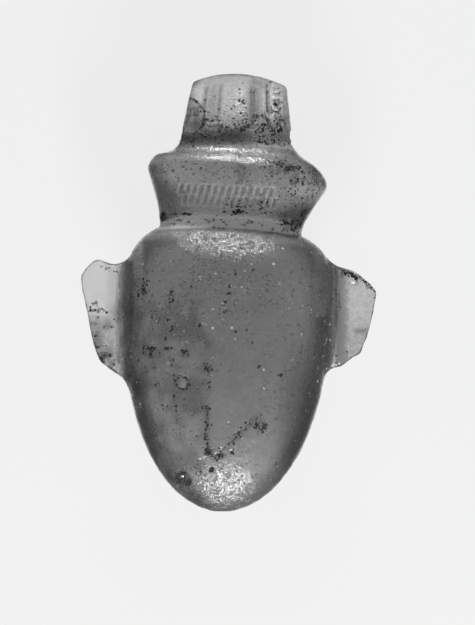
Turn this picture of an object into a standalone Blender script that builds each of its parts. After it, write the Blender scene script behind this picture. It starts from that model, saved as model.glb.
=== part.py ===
"""Heart amulet: a heart-shaped vase of cast translucent glass, lying on its back.

The amulet is one casting. Its pieces of form are an egg-shaped body with a thin lug on each side, a
flaring collar above it, and a ribbed suspension loop, bored from side to side, on top.
+Z points out of its face, +Y runs along it towards the loop, and the flat worn on its back is at z = 0.
Sizes in this file are millimetres, and MM turns them into Blender's metres.
"""

import math
from dataclasses import dataclass

import bmesh
import bpy
from mathutils import Matrix, Vector
from mathutils.geometry import interpolate_bezier

MM = 0.001

# Driving dimensions
LENGTH = 28.0                   # tip of the heart to the crown of the loop
BODY_HALF_WIDTH = 6.62          # at the body's widest, without the lugs
FRONT_DEPTH = 4.7               # from the mould seam to the fullest point of the face
BACK_DEPTH = 4.4                # the same behind, before the back is flattened
FLAT_DEPTH = 0.1                # taken off the back, so that the amulet lies still

# The body
TIP_Y = -LENGTH / 2
WAIST_Y = -0.45                 # where the body is widest
BODY_TIP_LENGTH = WAIST_Y - TIP_Y
BODY_SHOULDER_LENGTH = 5.25
TIP_POWER = 2.35                # 2 is an ellipse, and more gives a fuller tip
TIP_DEPTH_POWER = 2.1           # the same for its depth, which tapers sooner
SHOULDER_POWER = 3.68           # the same for the shoulders, which are squarer
SHOULDER_DEPTH_LENGTH = 5.05    # in depth the shoulder turns in a little earlier than in width
SHOULDER_DEPTH_POWER = 2.8
BODY_SQUARENESS = 2.3           # of its cross-sections, 2 being an ellipse
BODY_X = -0.07                  # where its axis passes the waist
BODY_LEAN = 0.023               # sideways shift of the axis for each millimetre up
SHOULDER_TILT = 4.6             # degrees by which the right shoulder sits lower
BODY_RINGS = 26
BODY_RING_POINTS = 56

# The lugs
SEAM_Z = BACK_DEPTH - FLAT_DEPTH
LUG_THICKNESS = 1.4
LUG_EDGE = 0.34                 # radius of its rounded rim
LUG_STEPS = 5                   # straight pieces along each span of its outline

# The suspension loop
BORE_RADIUS = 0.75
BORE_CENTRE = (0.5, 10.05)
BORE_TILT = 1.5
LOOP_RING_STEPS = 2             # rings for each of its stations and the collar's
LOOP_RING_POINTS = 80

SHARP_ANGLE = 38.0


@dataclass
class Section:
    """One cross-section of the casting, square to the long axis apart from its tilt.

    half_width, front and back are measured from the seam's middle at (x, y). tilt lowers the right end, in
    degrees. arch lifts the middle of the section along +Y. ribs is how much of the rib relief shows here.
    """

    x: float
    y: float
    half_width: float
    front: float
    back: float
    tilt: float = 0.0
    arch: float = 0.0
    squareness: float = BODY_SQUARENESS
    ribs: float = 0.0


# From inside the body's shoulder up through the collar to the loop's crown.
COLLAR_AND_LOOP = (
    Section(0.05, 3.00, 4.40, 1.95, 1.84, 4.0),
    Section(0.12, 4.10, 4.53, 2.60, 2.42, 4.6),      # crease above the shoulder
    Section(0.20, 4.75, 4.66, 2.74, 2.52, 3.6),
    Section(0.36, 5.35, 4.90, 3.01, 2.70, 2.8),
    Section(0.50, 6.20, 5.27, 3.22, 2.88, 3.2),
    Section(0.57, 6.90, 5.61, 3.36, 2.99, 4.6),
    Section(0.55, 7.48, 5.76, 3.45, 3.05, 5.2),      # the collar's widest, its rounded lip
    Section(0.49, 8.02, 5.52, 3.40, 2.99, 4.8),
    Section(0.44, 8.50, 5.06, 3.20, 2.82, 4.2),      # upper edge of the lip
    Section(0.44, 8.90, 4.16, 2.51, 2.30, 2.4),
    Section(0.45, 9.40, 3.72, 2.25, 2.13, 1.4),      # hollow between lip and loop
    Section(0.47, 10.1, 3.60, 2.30, 2.18, 1.2, squareness=2.5, ribs=0.3),
    Section(0.54, 10.9, 3.42, 2.16, 2.05, 1.4, squareness=2.7, ribs=0.7),
    Section(0.59, 11.8, 3.30, 1.82, 1.74, 1.8, squareness=2.8, ribs=1.0),
    Section(0.63, 12.6, 3.15, 1.50, 1.45, 2.4, 0.16, 2.9, 1.0),
    Section(0.68, 13.1, 3.05, 1.24, 1.20, 2.9, 0.40, 3.0, 0.7),
    Section(0.69, 13.35, 2.96, 0.96, 0.94, 3.1, 0.54, 3.0, 0.3),
    Section(0.70, 13.43, 2.72, 0.54, 0.54, 3.1, 0.56, 2.6),
)

# Grooves between the loop's worn ribs: place and reach as shares of the half width, and depth. The
# ribs behind are fainter.
LOOP_GROOVES = (
    (-0.66, 0.050, 0.20),
    (-0.49, 0.110, 0.13),
    (-0.28, 0.050, 0.13),
    (0.36, 0.075, 0.28),
    (0.61, 0.050, 0.20),
)
BACK_RIB_SHARE = 0.6

# Outlines of the lugs, seen from the front, from where each leaves the shoulder to where it meets the
# body again. The root is the point inside the body that each lug spreads out from.
LEFT_LUG = (
    (-6.30, 2.25), (-6.95, 1.92), (-7.55, 1.84), (-8.42, 2.13), (-9.12, 1.56), (-9.43, 0.80), (-9.06, -1.20),
    (-8.49, -3.78), (-7.72, -4.78), (-6.76, -5.48), (-6.30, -6.35), (-5.55, -7.05),
)
RIGHT_LUG = (
    (6.20, 2.30), (6.86, 1.74), (7.74, 1.48), (8.66, 0.92), (9.32, 0.20), (9.42, -0.16), (9.16, -1.60),
    (8.50, -3.68), (7.82, -4.18), (7.20, -4.66), (6.45, -4.88), (5.95, -5.55), (5.40, -6.30),
)
LUG_ROOT = (4.6, -1.4)
LUG_ROOT_END = 3.4              # how near the axis its two edges run on inside the body

# Chips in the surface: centre, and half sizes of the rounded scoop that each one leaves.
LOOP_CHIP = ((-3.50, 11.15, SEAM_Z + 2.30), (2.00, 1.50, 1.55))
LUG_CHIP = ((7.75, 1.12, SEAM_Z + 0.72), (0.62, 0.24, 0.34))
LUG_CHIP_TURN = -32.0           # degrees about Z, in line with the lug's sloping top edge


def clear_scene():
    """Remove every object of the starting scene."""
    for obj in list(bpy.data.objects):
        bpy.data.objects.remove(obj, do_unlink=True)


def new_object(name, bm):
    """Turn a bmesh drawn in millimetres into a linked object in metres."""
    bmesh.ops.recalc_face_normals(bm, faces=bm.faces)
    bmesh.ops.scale(bm, vec=(MM, MM, MM), verts=bm.verts)
    mesh = bpy.data.meshes.new(name)
    bm.to_mesh(mesh)
    bm.free()
    obj = bpy.data.objects.new(name, mesh)
    bpy.context.scene.collection.objects.link(obj)
    return obj


def make_helper(obj):
    """Mark an object that only a Boolean uses."""
    obj.hide_render = True
    obj.display_type = "WIRE"
    return obj


def groove_depth(across):
    """Depth of the loop's grooves at a place across it, -1 at its left end and 1 at its right."""
    return sum(
        depth * math.exp(-(((across - place) / reach) ** 2)) for place, reach, depth in LOOP_GROOVES
    )


def ring_points(section, count):
    """Points of one cross-section: a superellipse, fuller in front than behind."""
    tilt = Matrix.Rotation(math.radians(-section.tilt), 4, "Z")
    power = section.squareness
    points = []
    for step in range(count):
        angle = math.tau * step / count
        across = math.cos(angle)
        deep = (1 - abs(across) ** power) ** (1 / power)
        relief = section.ribs * groove_depth(across) * deep
        if angle < math.pi:
            z = deep * section.front - relief
        else:
            z = BACK_RIB_SHARE * relief - deep * section.back
        point = tilt @ Vector((section.half_width * across, section.arch * (1 - across**2), z))
        points.append(point + Vector((section.x, section.y, SEAM_Z)))
    return points


def loft(rings, tip=None):
    """Closed bmesh through rings of points. With a tip, the first ring closes on that point."""
    bm = bmesh.new()
    rows = [[bm.verts.new(point) for point in ring] for ring in rings]
    count = len(rows[0])
    for low, high in zip(rows, rows[1:]):
        for i in range(count):
            j = (i + 1) % count
            bm.faces.new((low[i], low[j], high[j], high[i]))
    if tip is None:
        bm.faces.new(rows[0])
    else:
        point = bm.verts.new(tip)
        for i in range(count):
            bm.faces.new((point, rows[0][(i + 1) % count], rows[0][i]))
    bm.faces.new(rows[-1])
    return bm


def between(a, b, c, d, share):
    """Catmull-Rom value between b and c."""
    return 0.5 * (
        2 * b + (c - a) * share + (2 * a - 5 * b + 4 * c - d) * share**2 + (3 * b - a - 3 * c + d) * share**3
    )


def refined(stations, steps):
    """The stations with smoothly interpolated sections added between them."""
    fields = [list(vars(s).values()) for s in stations]
    fields = [fields[0], *fields, fields[-1]]
    sections = []
    for four in zip(fields, fields[1:], fields[2:], fields[3:]):
        for step in range(steps):
            values = [between(*track, step / steps) for track in zip(*four)]
            sections.append(Section(*values))
    sections.append(stations[-1])
    return sections


def body_section(rise):
    """The body's section at a height given as -1 at its tip, 0 at its widest and 1 at its shoulder's top."""
    if rise < 0:
        width = math.sqrt(1 - abs(rise) ** TIP_POWER)
        depth = math.sqrt(1 - abs(rise) ** TIP_DEPTH_POWER)
        y = WAIST_Y + rise * BODY_TIP_LENGTH
    else:
        y = WAIST_Y + rise * BODY_SHOULDER_LENGTH
        width = math.sqrt(1 - rise**SHOULDER_POWER)
        deep_rise = min((y - WAIST_Y) / SHOULDER_DEPTH_LENGTH, 0.999)
        depth = math.sqrt(1 - deep_rise**SHOULDER_DEPTH_POWER)
    return Section(
        x=BODY_X + BODY_LEAN * (y - WAIST_Y),
        y=y,
        half_width=BODY_HALF_WIDTH * width,
        front=FRONT_DEPTH * depth,
        back=BACK_DEPTH * depth,
        tilt=SHOULDER_TILT * max(rise, 0) ** 2,
    )


def make_body():
    """The egg of the vase, its rings closer together towards both ends."""
    last_angle = 72.0
    rings = []
    for step in range(1, BODY_RINGS + 1):
        angle = -90 + (90 + last_angle) * step / BODY_RINGS
        section = body_section(math.sin(math.radians(angle)))
        rings.append(ring_points(section, BODY_RING_POINTS))
    tip = Vector((BODY_X + BODY_LEAN * (TIP_Y - WAIST_Y), TIP_Y, SEAM_Z))
    return new_object("heart_amulet", loft(rings, tip))


def make_collar_and_loop():
    """The flaring collar and the ribbed loop, which grow out of each other in one curve."""
    sections = refined(COLLAR_AND_LOOP, LOOP_RING_STEPS)
    rings = [ring_points(section, LOOP_RING_POINTS) for section in sections]
    return make_helper(new_object("collar_and_loop", loft(rings)))


def smooth_outline(landmarks, steps):
    """Points along a Catmull-Rom curve through the landmarks, drawn as Bezier spans."""
    points = [Vector((x, y, 0)) for x, y in landmarks]
    points = [points[0], *points, points[-1]]
    outline = []
    for before, start, end, after in zip(points, points[1:], points[2:], points[3:]):
        handles = (start + (end - before) / 6, end - (after - start) / 6)
        outline.extend(interpolate_bezier(start, *handles, end, steps + 1)[:-1])
    outline.append(points[-1])
    return outline


def make_lug(name, landmarks):
    """A thin plate on the seam, cut to its outline, with a rounded rim."""
    side = math.copysign(1.0, landmarks[0][0])
    root = Vector((side * LUG_ROOT[0], LUG_ROOT[1], 0))
    outline = smooth_outline(landmarks, LUG_STEPS)
    outline += [Vector((side * LUG_ROOT_END, outline[end].y, 0)) for end in (-1, 0)]
    flat = LUG_THICKNESS / 2 - LUG_EDGE
    rings = []
    for angle, offset in ((-90, -flat), (-45, -flat), (0, -flat), (0, flat), (45, flat), (90, flat)):
        inset = LUG_EDGE * (1 - math.cos(math.radians(angle)))
        z = SEAM_Z + offset + LUG_EDGE * math.sin(math.radians(angle))
        ring = [p - inset * (p - root).normalized() for p in outline]
        rings.append([Vector((p.x, p.y, z)) for p in ring])
    return make_helper(new_object(name, loft(rings)))


def make_scoop(name, chip, turn=0.0):
    """A rounded cutter the size of one chip."""
    centre, half_sizes = chip
    bm = bmesh.new()
    bmesh.ops.create_icosphere(bm, subdivisions=3, radius=1.0)
    place = (
        Matrix.Translation(centre)
        @ Matrix.Rotation(math.radians(turn), 4, "Z")
        @ Matrix.Diagonal((*half_sizes, 1.0))
    )
    bmesh.ops.transform(bm, matrix=place, verts=bm.verts)
    return make_helper(new_object(name, bm))


def make_bore():
    """The cutter for the cord hole, which runs through the loop from side to side."""
    bm = bmesh.new()
    bmesh.ops.create_cone(
        bm, cap_ends=True, segments=28, radius1=BORE_RADIUS, radius2=BORE_RADIUS, depth=LENGTH / 3
    )
    place = (
        Matrix.Translation((*BORE_CENTRE, SEAM_Z))
        @ Matrix.Rotation(math.radians(-BORE_TILT), 4, "Z")
        @ Matrix.Rotation(math.radians(90), 4, "Y")
    )
    bmesh.ops.transform(bm, matrix=place, verts=bm.verts)
    return make_helper(new_object("cord_bore", bm))


def make_rest_plane():
    """The cutter below z = 0 that leaves the worn flat on the back."""
    bm = bmesh.new()
    bmesh.ops.create_cube(bm, size=2 * LENGTH)
    bmesh.ops.translate(bm, vec=(0, 0, -LENGTH), verts=bm.verts)
    return make_helper(new_object("rest_plane", bm))


def add_boolean(obj, operation, other):
    modifier = obj.modifiers.new(other.name, "BOOLEAN")
    modifier.operation = operation
    modifier.object = other


def glass_material():
    """Cloudy grey glass."""
    material = bpy.data.materials.new("cast_glass")
    material.use_nodes = True
    shader = material.node_tree.nodes["Principled BSDF"]
    shader.inputs["Base Color"].default_value = (0.20, 0.20, 0.20, 1.0)
    shader.inputs["Roughness"].default_value = 0.32
    shader.inputs["Metallic"].default_value = 0.0
    return material


def main():
    clear_scene()
    amulet = make_body()
    for part in (
        make_collar_and_loop(),
        make_lug("left_lug", LEFT_LUG),
        make_lug("right_lug", RIGHT_LUG),
    ):
        add_boolean(amulet, "UNION", part)
    for cutter in (
        make_bore(),
        make_scoop("loop_chip", LOOP_CHIP),
        make_scoop("lug_chip", LUG_CHIP, LUG_CHIP_TURN),
        make_rest_plane(),
    ):
        add_boolean(amulet, "DIFFERENCE", cutter)
    amulet.data.materials.append(glass_material())
    amulet.data.shade_smooth()
    amulet.data.set_sharp_from_angle(angle=math.radians(SHARP_ANGLE))


main()
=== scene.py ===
"""Heart amulet of cloudy cast glass, lying on its back on a pale light table.

The amulet is one casting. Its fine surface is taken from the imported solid, evened out on a close grid of
faces, then worked over form by form: the loop's worn ribs, the collar with its shallow strokes, the
pitted heart and the thin lugs. Sizes are in millimetres unless a name says otherwise, and MM turns them
into metres.
"""

import logging
import math
from dataclasses import dataclass, field
from enum import Enum

import bmesh
import bpy
import numpy as np
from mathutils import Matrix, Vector, noise


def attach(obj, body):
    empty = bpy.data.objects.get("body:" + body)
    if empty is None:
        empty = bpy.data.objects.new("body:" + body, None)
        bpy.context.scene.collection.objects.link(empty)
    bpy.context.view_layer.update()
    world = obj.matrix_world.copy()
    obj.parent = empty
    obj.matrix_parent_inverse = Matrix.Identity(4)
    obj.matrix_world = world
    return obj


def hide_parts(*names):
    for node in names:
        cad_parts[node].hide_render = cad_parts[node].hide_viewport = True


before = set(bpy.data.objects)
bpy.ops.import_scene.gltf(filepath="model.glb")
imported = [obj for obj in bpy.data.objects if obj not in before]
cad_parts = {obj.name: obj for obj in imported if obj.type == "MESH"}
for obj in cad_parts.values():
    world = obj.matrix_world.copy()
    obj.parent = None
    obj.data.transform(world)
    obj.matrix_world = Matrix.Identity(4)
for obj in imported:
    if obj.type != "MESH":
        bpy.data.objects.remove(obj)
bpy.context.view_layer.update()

MM = 0.001
NODE = "heart_amulet"
SEAM_Z = 4.3        # height of the mould seam, half way up the lugs

Array = np.ndarray
Pair = tuple[float, float]
Stroke = tuple[Pair, Pair]
Triple = tuple[float, float, float]
Oval = tuple[float, float, float, float]  # x and y of its middle, half width, half height
WHITE = (1.0, 1.0, 1.0, 1.0)
log = logging.getLogger("heart_amulet")


class Face(Enum):
    """Side of the casting that a feature is on."""

    FRONT = 1.0
    BACK = -1.0


def stand(name: str, data: bpy.types.ID) -> bpy.types.Object:
    """Put new data into the scene as an object."""
    made = bpy.data.objects.new(name, data)
    bpy.context.scene.collection.objects.link(made)
    return made


# --- Fields over the surface ---


def ramp(low: float, high: float, value: Array) -> Array:
    """Smooth step from 0 at low to 1 at high.

    Args:
        low: Value where the step starts.
        high: Value where it ends. It may be below low, which turns the step round.
        value: Values to look up.

    Returns:
        The step's height at each value.
    """
    share = np.clip((value - low) / (high - low), 0.0, 1.0)
    return share * share * (3.0 - 2.0 * share)


def bell(distance: Array, reach: float) -> Array:
    """Gaussian bump of height 1 that has faded to a third at reach."""
    return np.exp(-((distance / reach) ** 2))


def band(value: Array, rise: Pair, fall: Pair) -> Array:
    """Share that climbs from 0 to 1 over the first range and sinks back to 0 over the second."""
    return ramp(*rise, value) * ramp(fall[1], fall[0], value)


def lattice(corners: Array, seed: int) -> Array:
    """Steady random value between -1 and 1 for each whole-numbered corner of space."""
    mixed = corners[:, 0] * 73856093 ^ corners[:, 1] * 19349663 ^ corners[:, 2] * 83492791 ^ seed * 2654435
    mixed = (mixed ^ (mixed >> 13)) * 1274126177
    return ((mixed ^ (mixed >> 16)) & 0xFFFF) / 32767.5 - 1.0


def grain(points: Array, size: float, seed: int = 0) -> Array:
    """Smooth noise between -1 and 1.

    Args:
        points: Places on the surface, one row each.
        size: Width of the noise's lumps.
        seed: Number that picks an unrelated pattern.

    Returns:
        One value for each place.
    """
    scaled = points / size + 0.37 * seed
    base = np.floor(scaled).astype(np.int64)
    share = scaled - base
    share = share * share * (3.0 - 2.0 * share)
    total = np.zeros(len(points))
    for corner in range(8):
        offset = np.array([corner & 1, corner >> 1 & 1, corner >> 2 & 1])
        weight = np.prod(np.where(offset == 1, share, 1.0 - share), axis=1)
        total += weight * lattice(base + offset, seed)
    return total


def shards(points: Array, size: float) -> tuple[Array, Array]:
    """Split places among scattered centres.

    Args:
        points: Places on the surface.
        size: Usual width of one shard.

    Returns:
        Each place's way from the centre of its shard, and a random value between -1 and 1 for its shard.
    """
    centres = np.array([noise.voronoi(Vector(p / size))[1][0][:] for p in points]) * size
    return points - centres, lattice(np.floor(centres * 1000.0).astype(np.int64), 7)


@dataclass
class Surface:
    """The casting's fine mesh as arrays, with what its finish needs to know at each point."""

    points: Array
    faces: Array
    normals: Array = field(init=False)
    marks: dict[str, Array] = field(default_factory=dict)

    def __post_init__(self) -> None:
        """Work out the normals of the mesh as it comes."""
        self.refresh()

    def refresh(self) -> None:
        """Work out the normals again after the points have moved."""
        corners = self.points[self.faces]
        flat = np.cross(corners[:, 2] - corners[:, 0], corners[:, 3] - corners[:, 1])
        spread, count = self.faces.ravel(), len(self.points)
        total = [np.bincount(spread, np.repeat(flat[:, axis], 4), count) for axis in range(3)]
        total = np.stack(total, axis=1)
        self.normals = total / np.maximum(np.linalg.norm(total, axis=1), 1e-12)[:, None]

    def even_out(self, rounds: int, where: float | Array = 1.0, back: float = 0.52) -> None:
        """Smooth the grid's steps away, or round real forms off.

        Args:
            rounds: Number of smoothing passes.
            where: Share of each pass that each point gets.
            back: How far each pass swells the form again, which keeps it at 0.52 and rounds it off at 0.
        """
        share = np.broadcast_to(where, len(self.points))[:, None]
        ends = np.concatenate([self.faces[:, [i, (i + 1) % 4]] for i in range(4)])
        count = np.bincount(ends[:, 0], minlength=len(self.points)).astype(float)
        for _ in range(rounds):
            for factor in (0.5, -back):
                total = np.zeros_like(self.points)
                for axis in range(3):
                    total[:, axis] = np.bincount(ends[:, 0], self.points[ends[:, 1], axis], len(self.points))
                step = total / count[:, None] - self.points
                self.points += share * factor * step
        self.refresh()

    def fill_creases(self, where: Array, rounds: int) -> None:
        """Round out hollow corners, and leave every ridge and rim as it is.

        Args:
            where: Share of the filling that each point gets.
            rounds: Number of passes, more for a wider fillet.
        """
        ends = np.concatenate([self.faces[:, [i, (i + 1) % 4]] for i in range(4)])
        ends = ends[where[ends[:, 0]] > 0.01]
        picked = np.flatnonzero(where > 0.01)
        rank = np.zeros(len(self.points), dtype=np.int64)
        rank[picked] = np.arange(len(picked))
        source, target = rank[ends[:, 0]], ends[:, 1]
        share = 0.9 * where[picked, None]
        count = np.bincount(source)[:, None]
        for done in range(rounds):
            if done % 10 == 0:
                self.refresh()
                normal = self.normals[picked]
            total = [np.bincount(source, self.points[target, axis]) for axis in range(3)]
            step = np.stack(total, axis=1) / count - self.points[picked]
            inward = np.minimum(np.sum(step * normal, axis=1), 0.0)[:, None]
            self.points[picked] += share * (step - inward * normal)
        self.refresh()

    def raise_by(self, height: Array) -> None:
        """Move each point out along its normal."""
        self.points += self.normals * height[:, None]
        self.refresh()

    def mark(self, name: str, amount: Array) -> None:
        """Raise one of the named amounts that the finish reads to at least this much."""
        known = self.marks.get(name, np.zeros(len(self.points)))
        self.marks[name] = np.maximum(known, amount)

    def mottle(self, size: float, seed: int, bias: float = 0.5) -> Array:
        """Blotches between 0 and 1, with finer blotches on them."""
        coarse = grain(self.points, size, seed)
        fine = grain(self.points, 0.42 * size, seed + 50)
        return np.clip(bias + 0.95 * coarse + 0.65 * fine, 0.0, 1.0)

    def oval(self, x: float, y: float, half_width: float, half_height: float) -> Array:
        """Distance from an oval's middle as seen from the front, which is 1 all along its rim."""
        return np.hypot((self.points[:, 0] - x) / half_width, (self.points[:, 1] - y) / half_height)

    def away(self, start: Pair, end: Pair) -> Array:
        """Distance from the straight stroke between two ends, (x, y) each, seen from the front."""
        a, b = np.array(start), np.array(end)
        along = b - a
        share = np.clip((self.points[:, :2] - a) @ along / (along @ along), 0.0, 1.0)
        return np.linalg.norm(self.points[:, :2] - a - share[:, None] * along, axis=1)

    def plan(self) -> tuple[Array, Array]:
        """The x and y of every place, which follow the points as they move."""
        return self.points[:, 0], self.points[:, 1]

    def on(self, face: Face) -> Array:
        """How far each place belongs to one face, from 0 to 1."""
        return ramp(-0.15, 0.35, self.normals[:, 2] * face.value)


# --- The forms of the casting ---


@dataclass(frozen=True)
class Pit:
    """A round dent, burst bubble or dark speck in the face."""

    x: float
    y: float
    radius: float
    depth: float = 0.05
    dark: float = 1.5
    boss: float = 0.0

    def work(self, surface: Surface) -> None:
        """Sink the pit, or a ring round its boss if it has one, and mark it as dark."""
        away = surface.oval(self.x, self.y, self.radius, self.radius)
        front = surface.on(Face.FRONT)
        shape = ramp(1.25, 0.30, away) if self.boss == 0.0 else bell(away - 0.85, 0.25)
        middle = bell(away, 0.42)
        surface.raise_by((self.boss * middle - self.depth * shape) * front)
        surface.mark("dirt_and_painted_shade", self.dark * shape * front)
        if self.boss > 0.0:
            surface.mark("frost_and_painted_light", 0.5 * middle * front)


@dataclass(frozen=True)
class Smudge:
    """A mottled dark patch on the face."""

    x: float
    y: float
    half_width: float
    half_height: float
    dark: float
    finish: str = "dirt_and_painted_shade"

    def work(self, surface: Surface) -> None:
        """Mark the patch, broken up by fine mottling."""
        away = surface.oval(self.x, self.y, self.half_width, self.half_height)
        patch = ramp(1.4, 0.4, away) * surface.on(Face.FRONT)
        surface.mark(self.finish, self.dark * patch * surface.mottle(0.42, 11, 0.65))
        if self.finish == "dirt_and_painted_shade":
            surface.mark("shade", 0.55 * self.dark * patch)


@dataclass
class SuspensionLoop:
    """The ribbed loop on top, with the flake off its left edge and the rough end of its right rib."""

    base_y: float = 9.6
    crown_y: float = 13.7
    base_x: float = 0.46
    crown_x: float = 0.68
    base_half: float = 3.6
    crown_half: float = 3.0
    grooves: tuple[Triple, ...] = (     # place across, reach, depth
        (-0.67, 0.030, 0.11),
        (-0.52, 0.100, 0.06),
        (-0.37, 0.035, 0.10),
        (0.31, 0.095, 0.14),
        (0.60, 0.028, 0.12),
    )
    groove_foot: Pair = (9.9, 11.3)
    groove_top: Pair = (12.9, 13.55)
    groove_shade: float = 0.75
    face_shares: tuple[tuple[Face, float], ...] = ((Face.FRONT, 1.0), (Face.BACK, 0.5))
    # Ovals of painted highlight on the ribs.
    rib_highlights: tuple[Oval, ...] = ((-1.80, 12.50, 0.50, 0.65), (0.70, 12.75, 0.50, 0.65))
    hollow: Oval = (2.0, 13.3, 0.5, 0.4)
    arch_side_y: float = 13.43
    arch_rise: float = 0.56
    arch_slope: float = 0.054
    pits: tuple[Pit, ...] = (
        Pit(0.62, 12.18, 0.10), Pit(0.88, 12.14, 0.13),
        Pit(1.05, 12.02, 0.09), Pit(0.50, 12.72, 0.08, dark=1.0),
        Pit(-0.90, 12.55, 0.08, dark=1.0),
    )
    flake: Triple = (-3.50, 11.15, SEAM_Z + 2.30)
    flake_half: Triple = (2.00, 1.50, 1.55)
    flake_smoothing: float = 0.85
    shard: float = 0.28
    shard_height: float = 0.2
    # Strokes of painted highlight: the white glare on the rib's rough end and a few small glints.
    glare_strokes: tuple[tuple[Pair, Pair, float], ...] = (         # start, end, reach
        ((2.66, 12.95), (2.68, 11.85), 0.14),
        ((2.80, 12.55), (2.90, 12.40), 0.10),
        ((2.90, 11.75), (3.05, 11.60), 0.10),
        ((2.45, 11.35), (2.55, 11.15), 0.10),
        ((2.85, 11.40), (2.72, 11.20), 0.08),
        ((3.40, 10.70), (3.42, 10.62), 0.08),
        ((-1.92, 10.30), (-1.88, 10.22), 0.08),
    )
    bore_y: float = 10.05
    bore_radius: float = 0.75

    def across(self, points: Array) -> Array:
        """Place across the loop, from -1 at its left side to 1 at its right."""
        rise = (points[:, 1] - self.base_y) / (self.crown_y - self.base_y)
        middle = self.base_x + rise * (self.crown_x - self.base_x)
        half = self.base_half + rise * (self.crown_half - self.base_half)
        return (points[:, 0] - middle) / half

    def work(self, surface: Surface) -> None:
        """Sharpen the grooves, paint light and shade over the ribs and the neck, cut the flake, break up the
        right rib with painted glare on it, and paint shade onto the bore's wall.
        """
        across = self.across(surface.points)
        here = band(surface.points[:, 1], self.groove_foot, self.groove_top)
        cut = sum(deep * bell(across - place, reach) for place, reach, deep in self.grooves)
        faced = np.abs(surface.normals[:, 2]) ** 0.5
        side = sum(share * (surface.normals[:, 2] * face.value > 0.0) for face, share in self.face_shares)
        surface.raise_by(-cut * here * faced * side)
        self.paint_and_wear_ribs(surface, across, cut, here)
        self.paint_neck(surface)
        for pit in self.pits:
            pit.work(surface)
        self.break_rib(surface)
        self.cut_flake(surface)
        self.shade_bore(surface)

    def paint_and_wear_ribs(self, surface: Surface, across: Array, cut: Array, here: Array) -> None:
        """Paint shade into the grooves and a hollow by the crown, give the worn ribs between them a frosted
        finish with painted light growing towards the top and painted highlights on two spots, and dull the
        crown.

        Args:
            surface: The casting's skin.
            across: Each point's place across the loop.
            cut: Depth of the grooves at each place across the loop.
            here: Share of that depth that is left at each place's height.
        """
        (x, y), front = surface.plan(), surface.on(Face.FRONT)
        # Painted shade in the grooves.
        surface.mark("shade", ramp(0.02, 0.10, cut) * here * front * self.groove_shade)
        ridge = ramp(0.03, 0.0, cut) * here * front
        # Frosting on the worn ribs, with painted light growing towards the top.
        surface.mark("frost_and_painted_light", ridge * (0.45 + 0.65 * ramp(10.8, 12.4, y)))
        # Painted highlights on two spots of the ribs.
        for spot in self.rib_highlights:
            bright = bell(surface.oval(*spot), 1.1)
            surface.mark("frost_and_painted_light", 1.9 * ridge * bright)
            surface.mark("clean", ridge * bright)
        surface.mark("glint", ridge * band(y, (10.8, 11.4), (11.8, 12.4)) * 0.6)
        # Painted shade in the hollow by the crown.
        surface.mark("shade", 0.6 * bell(surface.oval(*self.hollow), 1.0) * front)
        crown = self.arch_side_y + self.arch_rise * (1.0 - across**2)
        crown = crown - self.arch_slope * (x - self.crown_x)
        surface.mark("dull", ramp(0.75, 0.45, crown - y) * front)
        edge = ramp(0.86, 0.94, across) * band(y, (10.0, 10.6), (12.9, 13.3))
        surface.mark("frost_and_painted_light", edge * 1.6)

    def paint_neck(self, surface: Surface) -> None:
        """Paint shade into the hollow neck, most on its left, with painted light on its right and specks all
        over.
        """
        (x, y), front = surface.plan(), surface.on(Face.FRONT)
        neck = band(y, (8.8, 9.3), (10.2, 11.4))
        # Painted shade in the hollow neck, darkest on its left, with painted light on its right.
        surface.mark("shade", neck * surface.mottle(0.9, 21, 0.5) * 0.4)
        surface.mark("dull", band(y, (9.15, 9.35), (9.5, 9.9)) * 0.3)
        deep = band(y, (9.15, 9.4), (10.0, 10.6)) * front
        surface.mark("shade", deep * (0.65 - 0.60 * ramp(0.5, 2.5, x)))
        surface.mark("frost_and_painted_light", neck * (0.30 + 0.90 * ramp(-0.5, 2.8, x)))
        surface.mark("speck", ramp(12.6, 10.4, y) * (y > 8.6) * 0.6 + (y > 9.0) * 0.3)

    def break_rib(self, surface: Surface) -> None:
        """Roughen the right rib, where the glass has flaked in small facets, and paint a white glare strip on
        it and a few glints nearby as painted highlights.
        """
        p = surface.points
        (x, y), front = surface.plan(), surface.on(Face.FRONT)
        patch = band(x, (2.40, 2.55), (3.2, 3.5)) * front * band(y, (10.9, 11.5), (12.9, 13.15))
        glare = np.zeros(len(p))
        for start, end, reach in self.glare_strokes:
            glare = np.maximum(glare, ramp(1.3, 0.7, surface.away(start, end) / reach) * front)
        here = np.flatnonzero(patch > 0.01)
        away, lot = shards(p[here], self.shard)
        lean = np.where(lot > -0.2, 0.6, -0.6)
        height = np.zeros(len(p))
        tilted = lean * away[:, 1] + 0.4 * lot * away[:, 0]
        height[here] = np.clip(tilted, -self.shard_height, self.shard_height) - 0.2 * self.shard_height
        crumbs = surface.mottle(0.34, 27)
        whole = 1.0 - glare
        surface.raise_by(patch * height * whole)
        # Painted highlights: white glare along the glare strokes, kept flat under them.
        surface.mark("frost_and_painted_light", 1.95 * glare)
        surface.mark("clean", glare)
        surface.mark("gloss", patch * whole)
        surface.mark("frost_and_painted_light", patch * 0.3)
        surface.mark("dirt_and_painted_shade", patch * whole * crumbs * (0.4 + 0.7 * ramp(12.4, 11.8, y)))
        low_right = band(x, (-2.2, 2.6), (3.3, 3.8)) * band(y, (9.9, 10.3), (10.9, 12.0)) * front
        surface.mark("dirt_and_painted_shade", low_right * (0.30 + 0.60 * crumbs) * whole)
        surface.mark("glint", bell(y - 9.72, 0.12) * ramp(0.8, 1.8, x) * front)

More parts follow.
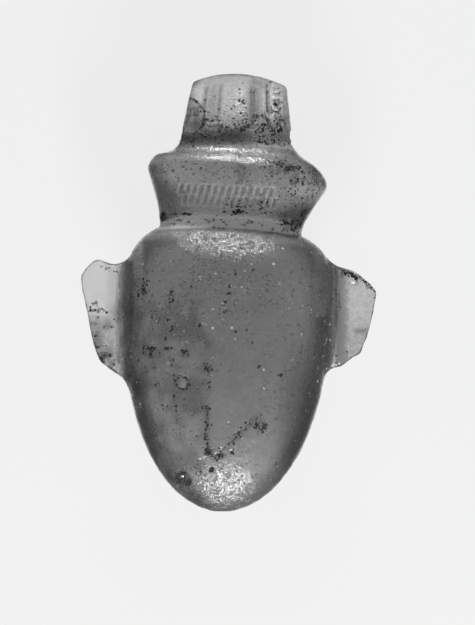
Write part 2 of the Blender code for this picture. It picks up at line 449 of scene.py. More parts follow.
    def cut_flake(self, surface: Surface) -> None:
        """Set points inside the shell-shaped scoop back onto its wall, and darken it and its rim."""
        centre, half = np.array(self.flake), np.array(self.flake_half)
        local = (surface.points - centre) / half
        size = np.linalg.norm(local, axis=1)
        inside = (size < 1.0) & (surface.points[:, 2] > SEAM_Z)
        wall = centre + local / np.maximum(size, 1e-6)[:, None] * half
        kept = 1.0 - self.flake_smoothing
        surface.points[inside] = surface.points[inside] * kept + wall[inside] * self.flake_smoothing
        surface.refresh()
        x, y = surface.plan()
        above = surface.points[:, 2] > SEAM_Z + 0.4
        rim = np.hypot(local[:, 0], local[:, 1])
        edge = bell(rim - 0.985, 0.05) * above * ramp(9.9, 10.2, y) * ramp(-2.95, -2.6, x)
        surface.mark("dirt_and_painted_shade", 0.9 * edge)
        surface.mark("shade", edge)
        surface.mark("shade", 0.40 * ramp(1.0, 0.94, rim) * above * ramp(9.9, 10.4, y))
        surface.mark("frost_and_painted_light", 0.35 * ramp(1.02, 0.96, size) * above * ramp(10.1, 10.9, y))
        surface.mark("dull", 0.6 * ramp(1.02, 0.96, size) * above)

    def shade_bore(self, surface: Surface) -> None:
        """Paint shade onto the wall of the bore, mottled."""
        p = surface.points
        away = np.hypot(p[:, 1] - self.bore_y, p[:, 2] - SEAM_Z)
        wall = ramp(self.bore_radius + 0.25, self.bore_radius + 0.1, away)
        # Painted shade on the bore's wall.
        surface.mark("dirt_and_painted_shade", 0.8 * wall * surface.mottle(0.5, 15, 0.6))


@dataclass
class Collar:
    """The flaring collar, its lip, the hollow above it and the rows of shallow strokes on its front."""

    strokes: int = 14
    row_start: float = -3.15
    row_end: float = 3.0
    row_heights: tuple[float, ...] = (6.42, 5.74)
    row_slope: float = -0.045
    stroke_height: float = 0.46
    stroke_lean: float = 0.07
    stroke_reach: float = 0.10
    stroke_depth: float = 0.07
    lip_rounds: int = 56
    lip_y: float = 8.75
    middle_x: float = 0.4
    crease_y: float = 4.05
    foot_rounds: int = 40
    bead_height: float = 0.14
    heap_height: float = 0.12
    crease_depth: float = 0.035
    corner: Oval = (3.95, 4.35, 0.75, 0.50)
    chip_height: float = 0.12
    left_end: Oval = (-4.22, 4.85, 0.24, 0.28)
    smudges: tuple[Smudge, ...] = (
        Smudge(4.00, 4.30, 0.62, 0.42, 0.7), Smudge(4.75, 5.10, 0.25, 0.60, 0.8),
        Smudge(-3.10, 4.98, 0.90, 0.14, 0.8), Smudge(0.30, 5.05, 1.10, 0.18, 0.8),
        Smudge(1.10, 5.60, 1.60, 0.45, 0.65), Smudge(4.40, 6.30, 1.20, 0.80, 0.6),
        Smudge(0.80, 7.60, 0.45, 0.85, 0.7, "shade"), Smudge(4.60, 6.20, 1.00, 1.20, 0.5, "shade"),
        Smudge(3.30, 7.95, 1.30, 0.45, 1.2, "shade"), Smudge(4.60, 7.10, 0.90, 0.60, 0.9, "shade"),
    )

    def work(self, surface: Surface) -> None:
        """Round the lip and the foot, cut the strokes, and paint light and shade on the collar, crumble its
        corner and mark its smudges and specks.
        """
        self.round_lip(surface)
        self.round_foot(surface)
        self.cut_strokes(surface)
        front = surface.on(Face.FRONT)
        self.paint_and_chip_foot(surface, front)
        self.paint_and_smudge_belt(surface, front)

    def round_lip(self, surface: Surface) -> None:
        """Ease the rise from the hollow to the lip into one even slope."""
        x, y = surface.plan()
        middle = ramp(4.6, 3.8, np.abs(x - self.middle_x))
        flat = ramp(0.15, 0.4, np.abs(surface.normals[:, 2])) * middle
        surface.even_out(self.lip_rounds, band(y, (7.8, 8.3), (9.4, 9.9)) * flat, back=0.0)
        middle = ramp(4.6, 3.8, np.abs(x - self.middle_x))
        surface.mark("glint", 0.5 * bell(y - self.lip_y, 0.35) * middle * surface.on(Face.FRONT))

    def above_crease(self, surface: Surface) -> Array:
        """Height of each place above the crease, which dips towards both sides."""
        x, y = surface.plan()
        return y - self.crease_y + 0.04 * x + 0.012 * x**2

    def round_foot(self, surface: Surface) -> None:
        """Soften the collar's foot into a low bead, with a thin crease between it and the shoulder."""
        low = self.above_crease(surface)
        here = ramp(0.25, 0.6, np.abs(surface.normals[:, 2])) * ramp(4.8, 4.2, np.abs(surface.points[:, 0]))
        surface.raise_by(self.bead_height * bell(low - 0.28, 0.30) * here)
        surface.raise_by(self.heap_height * band(low, (-0.80, -0.10), (0.05, 0.20)) * here)
        surface.even_out(self.foot_rounds, band(low, (-1.0, -0.5), (0.7, 1.2)) * here)
        surface.raise_by(-self.crease_depth * bell(self.above_crease(surface) + 0.02, 0.09) * here)

    def cut_strokes(self, surface: Surface) -> None:
        """Cut two rows of short plain strokes, one row half a space along from the other."""
        front = surface.on(Face.FRONT)
        core, flank = np.zeros(len(surface.points)), np.zeros(len(surface.points))
        space = (self.row_end - self.row_start) / self.strokes
        for row, height in enumerate(self.row_heights):
            for i in range(self.strokes):
                x = self.row_start + space * (i + 0.25 + 0.5 * row)
                y = height + self.row_slope * x
                half, lean = self.stroke_height / 2, self.stroke_lean
                away = surface.away((x - lean, y - half), (x + lean, y + half))
                core = np.maximum(core, bell(away, self.stroke_reach))
                flank = np.maximum(flank, bell(away - 1.7 * self.stroke_reach, 0.7 * self.stroke_reach))
        surface.raise_by((0.4 * flank - core) * self.stroke_depth * front)
        surface.mark("ink", flank * front)
        surface.mark("shade", core * front * 0.88)

    def paint_and_chip_foot(self, surface: Surface, front: Array) -> None:
        """Darken the front, most just under the lip, paint shade into the crease, paint light onto the bead
        over it and the shoulder under it, and crumble the foot's right corner.

        Args:
            surface: The casting's skin.
            front: How far each point is on the front.
        """
        y, low = surface.points[:, 1], self.above_crease(surface)
        surface.mark("shade", band(y, (4.6, 5.0), (8.2, 8.6)) * front * (0.18 + 0.10 * ramp(7.4, 7.9, y)))
        foot = band(low, (-0.15, 0.05), (0.50, 0.70)) * front
        # Painted shade in the crease.
        surface.mark("shade", 0.6 * bell(low + 0.02, 0.05) * front)
        # Painted light on the bead over the crease.
        surface.mark("frost_and_painted_light", foot * (1.5 + surface.mottle(0.45, 23)))
        surface.mark("glint", 0.45 * foot)
        surface.mark("clean", foot)
        # Painted light on the shoulder just under the crease.
        surface.mark("frost_and_painted_light", band(low, (-0.9, -0.3), (-0.12, -0.02)) * front * 0.45)
        corner = ramp(1.3, 0.5, surface.oval(*self.corner)) * front
        chips = grain(surface.points, 0.28, 41)
        surface.raise_by(self.chip_height * corner * chips)
        surface.mark("dirt_and_painted_shade", corner * np.clip(0.4 + 1.8 * chips, 0.0, 1.1))
        surface.mark("frost_and_painted_light", corner * np.clip(-2.0 * chips, 0.0, 1.0))

    def paint_and_smudge_belt(self, surface: Surface, front: Array) -> None:
        """Paint light onto the collar's sides and shade into the hollow above the lip, darken it under the
        lip on the right, and mark its glints, smudges, specks and dirty left end.

        Args:
            surface: The casting's skin.
            front: How far each point is on the front.
        """
        x, y = surface.plan()
        mottle = surface.mottle(0.7, 5)
        # Painted shade in the hollow above the lip.
        surface.mark("dirt_and_painted_shade", bell(y - 9.55 + 0.03 * x, 0.45) * mottle * 0.5)
        # Darker under the lip on the right, mottled.
        under_lip = bell(y - 7.95 + 0.20 * (x - 3.5), 0.36) * band(x, (1.4, 3.0), (5.3, 6.0)) * front
        surface.mark("dirt_and_painted_shade", under_lip * (0.30 + 0.50 * mottle))
        surface.mark("glint", bell(y - 7.45 + 0.05 * x, 0.50) * front * 0.8)
        belt = band(y, (4.3, 5.0), (8.3, 8.9))
        taper = 0.35 * (y - 6.5)
        # Painted light on the collar's sides.
        surface.mark("frost_and_painted_light", belt * ramp(2.6, 4.6, -x - taper) * 0.85)
        surface.mark("frost_and_painted_light", belt * ramp(3.2, 5.2, x - taper) * ramp(7.7, 7.1, y) * 0.60)
        for smudge in self.smudges:
            smudge.work(surface)
        surface.mark("dirt_and_painted_shade", ramp(1.6, 0.5, surface.oval(*self.left_end)) * 1.1)
        surface.mark("speck", belt * (0.15 + 0.85 * ramp(-0.5, 2.5, x) * ramp(7.4, 6.0, y)))


@dataclass
class Heart:
    """The egg-shaped body with its pits, bubbles, smudges and hairline cracks."""

    pits: tuple[Pit, ...] = (
        Pit(-2.94, -5.63, 0.50, 0.06, 0.9, boss=0.08), Pit(-3.48, -6.49, 0.15),
        Pit(3.24, -5.16, 0.17), Pit(3.44, -6.02, 0.11, dark=1.0),
        Pit(1.91, -4.65, 0.12), Pit(1.44, -3.11, 0.11),
        Pit(1.10, -2.37, 0.13, dark=1.0), Pit(0.39, -2.43, 0.11, dark=1.1),
        Pit(-1.78, -2.05, 0.11, dark=1.1), Pit(0.07, 0.39, 0.14),
        Pit(0.03, -0.06, 0.16), Pit(-0.21, -0.57, 0.14),
        Pit(-0.18, -1.15, 0.13), Pit(0.43, 1.16, 0.11),
        Pit(1.55, 1.41, 0.10, dark=1.1), Pit(0.84, 2.89, 0.19, 0.06, 0.9, boss=0.03),
        Pit(1.46, 2.95, 0.17, 0.06, 0.9, boss=0.03), Pit(-2.30, 0.32, 0.20, dark=0.8),
        Pit(-2.75, 0.68, 0.13, dark=1.1), Pit(-3.96, -2.88, 0.12),
        Pit(-3.77, -1.73, 0.12, dark=1.1), Pit(-5.72, -0.13, 0.12, dark=1.0),
        Pit(-4.58, -5.76, 0.20, dark=0.6), Pit(0.23, -10.03, 0.15, dark=2.2),
        Pit(-0.55, -10.22, 0.22, 0.06, 2.2), Pit(-1.30, -9.98, 0.26, 0.06, 2.2),
        Pit(-1.08, -11.14, 0.18, 0.06, 2.2), Pit(-1.98, -8.97, 0.18, dark=1.0),
        Pit(3.02, -10.80, 0.16, 0.03, 0.5), Pit(-2.60, -12.00, 0.24, 0.08, 2.4),
        Pit(-3.05, -11.60, 0.30, 0.06, 0.9, boss=0.05),
    )
    smudges: tuple[Smudge, ...] = (
        Smudge(-4.85, -3.75, 0.70, 0.45, 1.5), Smudge(-4.00, -3.55, 0.60, 0.18, 1.1),
        Smudge(-3.58, -2.24, 0.35, 0.35, 1.0), Smudge(-2.75, -3.78, 0.45, 0.35, 0.9),
        Smudge(-3.60, -0.30, 0.25, 0.90, 0.8), Smudge(-5.30, 0.30, 0.30, 0.60, 0.8),
        Smudge(-1.46, -4.80, 0.60, 0.35, 1.0), Smudge(-3.39, -7.30, 0.80, 0.35, 0.8),
        Smudge(-1.60, -7.24, 0.50, 0.30, 0.9), Smudge(-2.85, -11.80, 0.60, 0.50, 1.9),
        Smudge(-0.95, -10.10, 0.35, 0.45, 0.9), Smudge(-0.50, -10.25, 0.40, 0.25, 1.0),
        Smudge(-1.75, -11.25, 0.45, 0.30, 1.0), Smudge(2.00, -8.35, 0.50, 0.55, 0.95),
        Smudge(3.08, -11.98, 0.30, 0.25, 0.8), Smudge(-1.20, 2.90, 1.20, 0.60, 0.5, "shade"),
    )
    cracks: tuple[tuple[Pair, Pair, float], ...] = (        # start, end, darkness
        ((-1.42, -4.90), (-1.40, -7.20), 0.30),
        ((-1.40, -7.20), (-1.34, -10.05), 0.55),
        ((-0.89, -10.40), (1.87, -7.75), 0.50),
        ((-3.77, -4.16), (-3.19, -4.80), 0.50),
    )
    crack_depth: float = 0.02
    pitted: Oval = (-0.2, 0.9, 2.4, 2.6)
    tip: Oval = (-0.05, -12.6, 2.2, 1.6)
    shoulder: Oval = (-0.3, 3.4, 2.8, 0.8)
    dark_edge: Oval = (4.4, -8.6, 1.2, 4.6)

    def work(self, surface: Surface) -> None:
        """Sink the pits, smudge the face, and draw the cracks, a little sunk and filled with dirt."""
        for mark in (*self.pits, *self.smudges):
            mark.work(surface)
        front = surface.on(Face.FRONT)
        for start, end, dark in self.cracks:
            away = surface.away(start, end)
            line = bell(away + 0.10 * grain(surface.points, 0.5, 3), 0.22) * front
            surface.raise_by(-self.crack_depth * line)
            surface.mark("dirt_and_painted_shade", dark * line)
            surface.mark("shade", dark * bell(away, 0.30) * front)
        self.cloud_and_paint_face(surface, front)

    def cloud_and_paint_face(self, surface: Surface, front: Array) -> None:
        """Cloud the left of the face, make it glint where it is pitted and at its ends, scatter painted
        glints over it as pale specks, paint shade along its lower right edge, and lift the flanks with
        painted light.

        Args:
            surface: The casting's skin.
            front: How far each point is on the front.
        """
        x, y = surface.plan()
        out, body = np.abs(x), ramp(4.0, 3.4, y)
        near = body * ramp(7.3, 6.8, out)
        left = ramp(-0.7, -1.6, x + 0.25 * grain(surface.points, 1.2, 18)) * ramp(0.5, -1.5, y)
        surface.mark("shade", body * front * surface.mottle(1.2, 16) * (0.14 + 0.50 * left))
        glints = 1.2 * bell(surface.oval(*self.pitted), 1.0)
        glints = glints * (0.35 + 0.65 * surface.mottle(0.9, 29, 0.6))
        glints = glints + 0.35 * bell(y + 2.0, 5.0) * surface.mottle(0.9, 29, 0.4)
        glints = glints * ramp(6.6, 6.0, out)
        sides = ramp(4.9, 6.0, out) * ramp(-7.5, -6.0, y)
        surface.mark("glint", body * glints * front)
        surface.mark("speck", near * np.maximum(0.25 + 0.45 * left, 0.85 * sides))
        # Pale specks are painted glints, in the side bands and where the face is pitted.
        surface.mark("pale", near * np.maximum(0.6 * sides, 0.9 * glints * front))
        tip = bell(surface.oval(*self.tip), 1.0)
        shoulder = bell(surface.oval(*self.shoulder), 1.0)
        surface.mark("glint", ramp(4.2, 4.0, y) * front * np.maximum(tip, shoulder))
        # Painted shade along the lower right edge.
        surface.mark("shade", ramp(1.8, 0.3, surface.oval(*self.dark_edge)) * 0.75)
        # Painted light that lifts the dark flanks beside the lugs.
        inner = out - 0.5 * (x > 0) * ramp(-2.0, 0.0, y)
        flank = ramp(5.2, 5.6, out) * ramp(6.2, 5.9, inner) * band(y, (-5.5, -4.5), (3.6, 4.6))
        share = np.where(x < 0, 0.26 + 0.25 * (y > 1.0), 0.22 * (y > -1.5))
        surface.mark("frost_and_painted_light", flank * front * share)


@dataclass
class SideLugs:
    """The two thin lugs, filleted into the body, stained along the left one's lower edge."""

    fillet_rounds: int = 90
    wear_height: float = 0.03
    crumb_height: float = 0.05
    stain: Oval = (-8.35, -1.05, 0.75, 0.30)
    base: Oval = (-7.75, -4.25, 0.9, 0.45)
    top_edge: Stroke = ((-8.45, 1.65), (-7.15, 1.35))
    streak: Stroke = ((8.2, -2.45), (9.0, -2.30))
    soiled_rim: Stroke = ((8.3, 1.1), (9.25, 0.1))
    soiled_foot: Pair = (7.62, -4.18)
    chip: Pair = (7.72, 0.98)
    chip_size: Pair = (0.62, 0.34)
    chip_turn: Pair = (0.83, 0.56)
    chip_depth: float = 0.16
    bruise: Oval = (7.0, 0.95, 0.30, 0.22)

    def work(self, surface: Surface) -> None:
        """Fillet the lugs' roots and lift them with painted light, and wear and stain their faces."""
        x, y = surface.plan()
        root = band(np.abs(x), (4.6, 5.4), (7.6, 8.3)) * band(y, (-7.6, -7.0), (2.0, 2.6))
        surface.fill_creases(root, self.fillet_rounds)
        thin = ramp(6.9, 7.6, np.abs(x)) * (y < 3.0) * (y > -7.5)
        wear = grain(surface.points, 0.5, 4) + 0.6 * grain(surface.points, 0.22, 8)
        surface.raise_by(self.wear_height * wear * thin)
        # Painted light along the lugs' roots, over the fillets.
        reach = np.where(x > 0, x + 0.10, -x)
        root = ramp(6.3, 7.05, reach) * ramp(7.20, 7.05, reach) * band(y, (-5.6, -4.6), (1.5, 2.2))
        surface.mark("frost_and_painted_light", root * np.where(x > 0, 0.40, 0.75))
        self.soil_and_shade(surface, thin)
        self.chip_top(surface)

    def soil_and_shade(self, surface: Surface, thin: Array) -> None:
        """Stain the left lug towards its crumbled foot, and paint shade onto the right one from its root.

        Args:
            surface: The casting's skin.
            thin: How far each point is on a lug.
        """
        x, y = surface.plan()
        left = ramp(-6.6, -7.2, x) * thin
        surface.mark("shade", ramp(-6.9, -7.1, x) * thin * (0.12 + 0.25 * ramp(-8.1, -7.3, x)))
        lower = ramp(-1.0, -2.0, y) * left
        blotches = surface.mottle(0.9, 6)
        surface.mark("shade", lower * (0.34 + 0.66 * blotches))
        surface.mark("clean", left * ramp(-1.9, -0.9, y))
        surface.mark("dirt_and_painted_shade", lower * ramp(0.45, 0.9, blotches) * 0.45)
        surface.mark("dirt_and_painted_shade", left * bell(surface.oval(*self.stain), 1.0) * 0.5)
        base = ramp(1.4, 0.5, surface.oval(*self.base))
        lumps = grain(surface.points, 0.3, 19)
        crumbs = np.clip(0.5 + 1.6 * lumps, 0.0, 1.0)
        surface.raise_by(self.crumb_height * base * lumps)
        surface.mark("dirt_and_painted_shade", base * crumbs)
        surface.mark("frost_and_painted_light", base * (1.0 - crumbs) * 0.9)
        surface.mark("glint", bell(surface.away(*self.top_edge), 0.16) * surface.on(Face.FRONT))
        right = ramp(6.9, 7.6, x) * thin
        streak = bell(surface.away(*self.streak), 0.15)
        # Painted shade where the right lug meets the body.
        root = band(x, (6.70, 6.85), (7.0, 8.2))
        surface.mark("shade", root * (0.85 + 0.15 * ramp(0.0, -2.5, y)))
        surface.mark("shade", right * (0.22 + 0.22 * ramp(-1.0, -3.5, y)) + right * streak * 0.5)
        foot = np.hypot(x - self.soiled_foot[0], y - self.soiled_foot[1])
        rim = bell(surface.away(*self.soiled_rim), 0.22) + bell(foot, 0.28)
        surface.mark("dirt_and_painted_shade", right * rim * (0.35 + 0.45 * crumbs))

    def chip_top(self, surface: Surface) -> None:
        """Break the small shell-shaped chip out of the right lug's top, with a painted highlight on its lower
        wall and painted shade on its upper wall.
        """
        x, y = surface.points[:, 0] - self.chip[0], surface.points[:, 1] - self.chip[1]
        along = self.chip_turn[0] * x - self.chip_turn[1] * y
        across = self.chip_turn[1] * x + self.chip_turn[0] * y
        size = np.hypot(along / self.chip_size[0], across / self.chip_size[1])
        front = surface.on(Face.FRONT)
        surface.raise_by(-self.chip_depth * ramp(1.1, 0.5, size) * front)
        ring = bell(size - 0.72, 0.34) * front
        low = ring * ramp(0.08, -0.10, across)
        broken = np.clip(0.8 + 1.2 * grain(surface.points, 0.25, 33), 0.0, 1.0)
        # Painted highlight on the chip's lower wall.
        surface.mark("frost_and_painted_light", 1.9 * low * broken)
        surface.mark("clean", low)
        # Painted shade on the chip's upper wall.
        surface.mark("dirt_and_painted_shade", ring * ramp(0.02, 0.16, across - 0.2 * along) * (1.0 + 0.8 * broken))
        surface.mark("shade", 0.8 * bell(size - 0.95, 0.22) * front)
        surface.mark("frost_and_painted_light", 0.8 * bell(surface.oval(*self.bruise), 1.0) * front)


@dataclass
class Casting:
    """The whole amulet: one closed piece of glass."""

    grid: float = 0.12
    smoothing: int = 14
    loop: SuspensionLoop = field(default_factory=SuspensionLoop)
    collar: Collar = field(default_factory=Collar)
    heart: Heart = field(default_factory=Heart)
    lugs: SideLugs = field(default_factory=SideLugs)

    def fine_surface(self) -> Surface:
        """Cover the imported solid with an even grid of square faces.

        Returns:
            The grid, in millimetres.
        """
        bm = bmesh.new()
        bm.from_mesh(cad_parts[NODE].data)
        bmesh.ops.scale(bm, vec=(1 / MM,) * 3, verts=bm.verts)
        bmesh.ops.remove_doubles(bm, verts=bm.verts, dist=0.002)
        rough = bpy.data.meshes.new("rough_casting")
        bm.to_mesh(rough)
        bm.free()
        helper = stand("rough_casting", rough)
        remesh = helper.modifiers.new("grid", "REMESH")
        remesh.mode = "VOXEL"
        remesh.voxel_size = self.grid
        graph = bpy.context.evaluated_depsgraph_get()
        made = helper.evaluated_get(graph).to_mesh()
        points = np.empty(len(made.vertices) * 3)
        made.vertices.foreach_get("co", points)
        faces = np.empty(len(made.loops), dtype=np.int64)
        made.loops.foreach_get("vertex_index", faces)
        surface = Surface(points.reshape(-1, 3), faces.reshape(-1, 4))
        bpy.data.objects.remove(helper, do_unlink=True)
        bpy.data.meshes.remove(rough)
        return surface

    def weather(self, surface: Surface) -> None:
        """Give the whole skin its unevenness, from slow waves down to pebbling."""
        p = surface.points
        waves = 0.030 * grain(p, 2.2, 1) + 0.012 * grain(p, 0.8, 2)
        pebbles = 0.008 * grain(p, 0.34, 3)
        resting = ramp(0.0, 0.6, p[:, 2])
        surface.raise_by((waves + pebbles) * resting)

    def build(self) -> bpy.types.Object:
        """Make the casting's fine mesh.

        Returns:
            The piece, named and in place, with its marks stored as attributes.
        """
        surface = self.fine_surface()
        log.info("grid of %d faces", len(surface.faces))
        surface.even_out(self.smoothing)
        for form in (self.lugs, self.loop, self.collar, self.heart):
            form.work(surface)
            log.info("%s worked", type(form).__name__)
        self.weather(surface)
        surface.points[:, 2] = np.maximum(surface.points[:, 2], 0.0)
        mesh = bpy.data.meshes.new("heart_amulet_glass")
        mesh.from_pydata((surface.points * MM).tolist(), [], surface.faces.tolist())
        mesh.shade_smooth()
        for name, amount in surface.marks.items():
            attribute = mesh.attributes.new(name, "FLOAT", "POINT")
            attribute.data.foreach_set("value", amount.astype(np.float32))
        return stand("heart_amulet_glass", mesh)


# --- Finishes ---


Socket = bpy.types.NodeSocket
Value = float | tuple[float, ...] | Socket


class Bench:
    """The nodes of one material or world, with short ways to add and join them."""

    def __init__(self, owner: bpy.types.ID) -> None:
        """Switch the owner's nodes on."""
        owner.use_nodes = True
        self.nodes, self.links = owner.node_tree.nodes, owner.node_tree.links
        self.place = self.add("TexCoord").outputs

    def join(self, socket: Socket, value: Value) -> None:
        """Give an input a constant, or join it to an output."""
        if isinstance(value, Socket):
            self.links.new(value, socket)
        else:
            socket.default_value = value

    def feed(self, node: bpy.types.Node, **inputs: Value) -> bpy.types.Node:
        """Set or join inputs of a node, named with _ for each space, and hand it back."""
        for name, value in inputs.items():
            self.join(node.inputs[name.replace("_", " ")], value)
        return node

    def add(self, kind: str, **inputs: Value) -> bpy.types.Node:
        """Add a shader node of a kind, and feed it."""
        return self.feed(self.nodes.new("ShaderNode" + kind), **inputs)

    def mark(self, name: str) -> Socket:
        """One of the amounts stored on the mesh."""
        node = self.add("Attribute")
        node.attribute_name = name
        return node.outputs["Fac"]

    def grain(self, size: float, detail: float = 3.0) -> Socket:
        """Noise between 0 and 1 with lumps of a size in millimetres."""
        scale = 1.0 / (size * MM)
        node = self.add("TexNoise", Vector=self.place["Object"], Scale=scale, Detail=detail, Roughness=0.6)
        return node.outputs["Fac"]

    def steps(self, value: Socket, start: Pair, end: Pair) -> Socket:
        """Smooth ramp of a value.

        Args:
            value: The value to map.
            start: Where the ramp starts, and what it gives there and before.
            end: Where it ends, and what it gives there and beyond.

        Returns:
            The mapped value.
        """
        node = self.add("MapRange", Value=value, From_Min=start[0], To_Min=start[1])
        self.feed(node, From_Max=end[0], To_Max=end[1])
        node.interpolation_type = "SMOOTHSTEP"
        return node.outputs["Result"]

    def sum_up(self, operation: str, first: Value, second: Value) -> Socket:
        """Result of one Math operation, held between 0 and 1 for ADD."""
        node = self.add("Math")
        node.operation = operation
        node.use_clamp = operation == "ADD"
        self.join(node.inputs[0], first)
        self.join(node.inputs[1], second)
        return node.outputs[0]

    def times(self, first: Value, second: Value) -> Socket:
        """Product of two values."""
        return self.sum_up("MULTIPLY", first, second)

    def mix(self, share: Socket, first: Value, second: Value) -> Socket:
        """Blend from the first value to the second."""
        node = self.add("Mix", Factor=share, A=first, B=second)
        node.clamp_factor = False
        return node.outputs["Result"]

    def cells(self, spacing: float) -> bpy.types.Node:
        """Random cells of a width in millimetres."""
        return self.add("TexVoronoi", Vector=self.place["Object"], Scale=1.0 / (spacing * MM))

    def specks(self, spacing: float, radius: float, share: Socket) -> Socket:
        """Scattered round specks.

        Args:
            spacing: Width of the cells that hold one speck at most, in millimetres.
            radius: Radius of a speck, in shares of the spacing.
            share: Share of the cells that hold a speck.

        Returns:
            1 inside a speck and 0 outside.
        """
        node = self.cells(spacing)
        parts = self.add("SeparateColor", Color=node.outputs["Color"])
        chosen = self.sum_up("LESS_THAN", parts.outputs[0], share)
        inside = self.sum_up("SUBTRACT", self.times(parts.outputs[1], radius), node.outputs["Distance"])
        return self.times(chosen, self.steps(inside, (-0.08, 0.0), (0.04, 1.0)))

    def part_view(self, lit: Socket, seen: Socket, end: str) -> None:
        """Let one shader light the amulet, and show another where the eye meets it directly.

        Args:
            lit: Shader that gives the light.
            seen: Shader that is seen.
            end: Name of the output node.
        """
        mix = self.add("MixShader", Fac=self.add("LightPath").outputs["Is Camera Ray"])
        self.join(mix.inputs[1], lit)
        self.join(mix.inputs[2], seen)
        self.feed(self.nodes[end], Surface=mix.outputs[0])


@dataclass(frozen=True)
class CloudyGlass:
    """Grey glass, cloudy inside, finely pitted outside, with dirty hollows, painted shade in some hollows and
    painted light on its bright places.
    """

    clear_tint: float = 0.86
    shaded_tint: float = 0.28
    dirt_and_shade_tint: float = 0.015
    roughness: float = 0.15
    dull_roughness: float = 0.60
    dirt_and_shade_roughness: float = 0.95
    gloss_roughness: float = 0.08
    transmission: float = 0.90
    frost_and_light_transmission: float = 0.45
    ink_transmission: float = 0.62
    pale_transmission: float = 0.20
    dirt_and_shade_transmission: float = 0.10
    clean_haze: float = 0.06
    absorption: float = 320.0
    pebble_height: float = 0.036
    dent_size: float = 0.12
    dent_height: float = 0.026
    crumb_depth: float = 0.050

    def material(self) -> bpy.types.Material:
        """Build the node material.

        Returns:
            The finished material.
        """
        glass = bpy.data.materials.new("cloudy_cast_glass")
        bench = Bench(glass)
        speck, dirt_and_painted_shade, frost_and_painted_light = bench.mark("speck"), bench.mark("dirt_and_painted_shade"), bench.mark("frost_and_painted_light")
        fine = bench.specks(0.22, 0.45, bench.times(speck, 0.40))
        # Dark dots where the face glints, which break its highlights into grains.
        dark_dots = bench.specks(0.16, 0.85, bench.times(bench.mark("glint"), 0.50))
        coarse = bench.specks(0.80, 0.14, bench.times(speck, 0.30))
        # Pale specks are painted glints: small white dots where pits would catch the lamps.
        pale = bench.specks(0.20, 0.42, bench.times(bench.mark("pale"), 0.26))
        crumbs = bench.steps(bench.grain(0.13, 2.0), (0.30, 0.0), (0.70, 2.0))
        # This mark darkens and roughens the glass: real grime in pits, cracks and crumbs, and painted shade
        # on the lug chip's upper wall, in the hollow above the lip and in the bore.
        cake = bench.steps(bench.times(dirt_and_painted_shade, crumbs), (0.65, 0.0), (0.85, 1.0))
        soil_and_shade = bench.sum_up("MAXIMUM", cake, bench.specks(0.15, 0.75, bench.times(dirt_and_painted_shade, 0.85)))
        holes = bench.sum_up("MAXIMUM", dark_dots, bench.sum_up("MAXIMUM", fine, coarse))
        dark = bench.sum_up("MAXIMUM", soil_and_shade, bench.times(holes, 0.60))
        cloud = bench.steps(bench.grain(0.30, 5.0), (0.36, 0.0), (0.66, 0.20))
        dust = bench.steps(bench.grain(0.10, 1.0), (0.42, 0.0), (0.62, 0.28))
        haze = bench.mix(bench.mark("clean"), bench.sum_up("ADD", cloud, dust), self.clean_haze)
        shade = bench.sum_up("ADD", bench.mark("shade"), haze)
        deep = bench.sum_up("POWER", dark, 0.6)
        # The shade mark darkens the tint: real clouding, stains and stroke cores, and painted shade in the
        # grooves, hollows, crease, lug root and along the edges.
        tint = bench.mix(deep, bench.mix(shade, self.clear_tint, self.shaded_tint), self.dirt_and_shade_tint)
        # Frosting lowers the transmission and whitens the glass: real frosting where the glass is worn or
        # broken, and painted light on the loop's bright spots, the glare strip, the neck, the collar's bead
        # and sides, the shoulder, the flanks and the lug roots.
        clear = bench.mix(frost_and_painted_light, self.transmission, self.frost_and_light_transmission)
        clear = bench.mix(bench.mark("ink"), clear, self.ink_transmission)
        clear = bench.mix(pale, clear, self.pale_transmission)
        polish = (0.3, self.roughness), (0.7, 1.5 * self.roughness)
        polish = bench.mix(bench.mark("gloss"), bench.steps(bench.grain(0.7), *polish), self.gloss_roughness)
        polish = bench.mix(bench.mark("dull"), polish, self.dull_roughness)
        bench.feed(
            bench.nodes["Principled BSDF"],
            Base_Color=bench.add("CombineColor", Red=tint, Green=tint, Blue=tint).outputs[0],
            Roughness=bench.mix(dark, polish, self.dirt_and_shade_roughness),
            Transmission_Weight=bench.mix(dark, clear, self.dirt_and_shade_transmission),
            IOR=1.5,
            Normal=self.relief(bench, dark),
        )
        volume = bench.add("VolumeAbsorption", Color=(0.3, 0.3, 0.3, 1.0), Density=self.absorption)
        bench.feed(bench.nodes["Material Output"], Volume=volume.outputs[0])
        return glass

    def relief(self, bench: Bench, dark: Socket) -> Socket:
        """Fine pebbling over all the skin, with close dents where it glints.

        Args:
            bench: The material's nodes.
            dark: Share of the dirty and painted-shade marks, which lies a little lower than the glass.

        Returns:
            The bumped normal.
        """
        pebbles = bench.grain(0.15, 2.0)
        fine = bench.add("Bump", Strength=1.0, Distance=self.pebble_height * MM, Height=pebbles)
        glint = bench.sum_up("ADD", bench.mark("glint"), 0.15)
        height = bench.times(bench.cells(self.dent_size).outputs["Distance"], glint)
        depth = self.dent_height * MM
        dents = bench.add("Bump", Strength=1.0, Distance=depth, Height=height, Normal=fine.outputs[0])
        depth = self.crumb_depth * MM
        sunk = bench.add("Bump", Strength=1.0, Distance=depth, Height=dark, Normal=dents.outputs[0])
        sunk.invert = True
        return sunk.outputs[0]


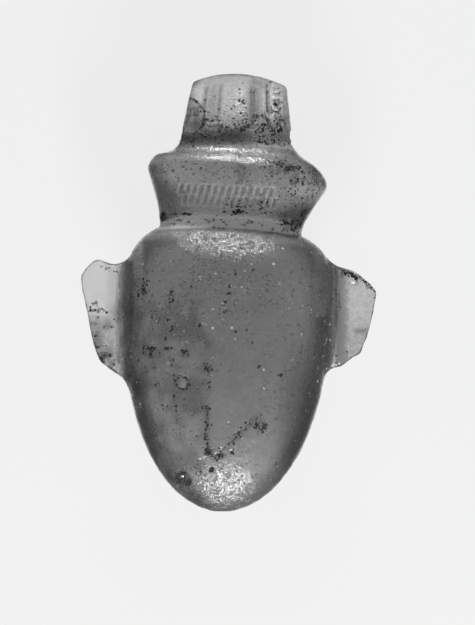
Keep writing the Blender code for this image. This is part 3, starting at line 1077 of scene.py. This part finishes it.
@dataclass(frozen=True)
class GlowSheet:
    """The pale sheet that the amulet lies on: plain where it is seen, clear to the lamps under it."""

    tone: float = 0.10
    glow: float = 0.79

    def material(self) -> bpy.types.Material:
        """Build the sheet's material.

        Returns:
            The finished material.
        """
        sheet = bpy.data.materials.new("glow_sheet")
        bench = Bench(sheet)
        plain = bench.feed(
            bench.nodes["Principled BSDF"],
            Base_Color=(self.tone, self.tone, self.tone, 1.0),
            Roughness=0.9,
            Specular_IOR_Level=0.0,
            Emission_Color=WHITE,
            Emission_Strength=self.glow,
        )
        bench.part_view(bench.add("BsdfTransparent").outputs[0], plain.outputs[0], "Material Output")
        return sheet


# --- The studio ---


@dataclass(frozen=True)
class Lamp:
    """A soft rectangular lamp that faces the amulet."""

    name: str
    place: Triple
    size: Pair
    watts: float

    def hang(self) -> None:
        """Hang the lamp."""
        light = bpy.data.lights.new(self.name, "AREA")
        light.shape = "RECTANGLE"
        light.size, light.size_y = self.size[0] * MM, self.size[1] * MM
        light.energy = self.watts
        lamp = stand(self.name, light)
        lamp.location = Vector(self.place) * MM
        lamp.rotation_euler = (-lamp.location).to_track_quat("-Z", "Y").to_euler()


@dataclass
class Studio:
    """Floor, light and camera."""

    view_x: float = 0.554
    view_y: float = -1.246
    field_height: float = 40.04
    lens: float = 150.0
    sensor: float = 36.0
    floor_size: float = 3000.0
    floor_drop: float = 0.02
    lamps: tuple[Lamp, ...] = (
        Lamp("lamp_beyond", (0.0, 180.0, 28.0), (60.0, 46.0), 0.33),
        Lamp("lamp_near", (11.0, -173.0, 58.0), (34.0, 38.0), 0.52),
    )
    under_depth: float = 50.0
    under_rings: tuple[Pair, ...] = ((33.0, 1.05), (95.0, 0.10))       # radius, glow
    dusk: Pair = (-0.60, 0.05)      # slopes where the room brightens
    dark_below: float = 0.05
    room_light: float = 0.24
    backdrop: float = 0.8
    sheet: GlowSheet = field(default_factory=GlowSheet)

    def floor(self) -> None:
        """Lay the sheet under the amulet."""
        bm = bmesh.new()
        bmesh.ops.create_grid(bm, x_segments=8, y_segments=8, size=self.floor_size / 2 * MM)
        mesh = bpy.data.meshes.new("floor")
        bm.to_mesh(mesh)
        bm.free()
        mesh.materials.append(self.sheet.material())
        floor = stand("floor", mesh)
        floor.location.z = -self.floor_drop * MM

    def under_lamps(self) -> None:
        """Set the round lamps under the sheet, a bright one and a wide weak one below it."""
        for number, (radius, glow) in enumerate(self.under_rings):
            light = bpy.data.lights.new(f"lamp_under_{number}", "AREA")
            light.shape = "DISK"
            light.size = 2 * radius * MM
            light.energy = glow * math.pi ** 2 * (radius * MM) ** 2
            lamp = stand(light.name, light)
            lamp.location.z = -(self.under_depth + number) * MM
            lamp.rotation_euler.x = math.pi

    def surroundings(self) -> None:
        """Fill the room with weak light, dark below, and let it look pale where it is seen directly."""
        world = bpy.data.worlds.new("pale_room")
        bench = Bench(world)
        slope = bench.add("SeparateXYZ", Vector=bench.place["Generated"])
        light = bench.add(
            "MapRange",
            Value=slope.outputs["Z"],
            From_Min=self.dusk[0],
            From_Max=self.dusk[1],
            To_Min=self.dark_below,
            To_Max=self.room_light,
        )
        dim = bench.feed(bench.nodes["Background"], Color=WHITE, Strength=light.outputs["Result"])
        pale = bench.add("Background", Color=WHITE, Strength=self.backdrop)
        bench.part_view(dim.outputs[0], pale.outputs[0], "World Output")
        bpy.context.scene.world = world

    def camera(self) -> None:
        """Stand the camera straight above the amulet, with the loop at the top of its view."""
        data = bpy.data.cameras.new("camera")
        data.lens, data.sensor_width = self.lens, self.sensor
        data.clip_start, data.clip_end = 0.001, 10.0
        camera = stand("camera", data)
        height = SEAM_Z + self.field_height * self.lens / self.sensor
        camera.location = Vector((self.view_x, self.view_y, height)) * MM
        bpy.context.scene.camera = camera

    def build(self) -> None:
        """Set up floor, lamps, room and camera."""
        self.floor()
        self.under_lamps()
        for lamp in self.lamps:
            lamp.hang()
        self.surroundings()
        self.camera()
        bpy.context.scene.view_settings.view_transform = "Standard"


def main() -> None:
    """Build the amulet and the studio around it."""
    logging.basicConfig(level=logging.INFO, format="%(name)s: %(message)s")
    glass = Casting().build()
    glass.data.materials.append(CloudyGlass().material())
    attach(glass, "root")
    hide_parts(NODE)
    log.info("casting of %d points", len(glass.data.vertices))
    Studio().build()
    log.info("studio ready")


if __name__ == "__main__":
    main()
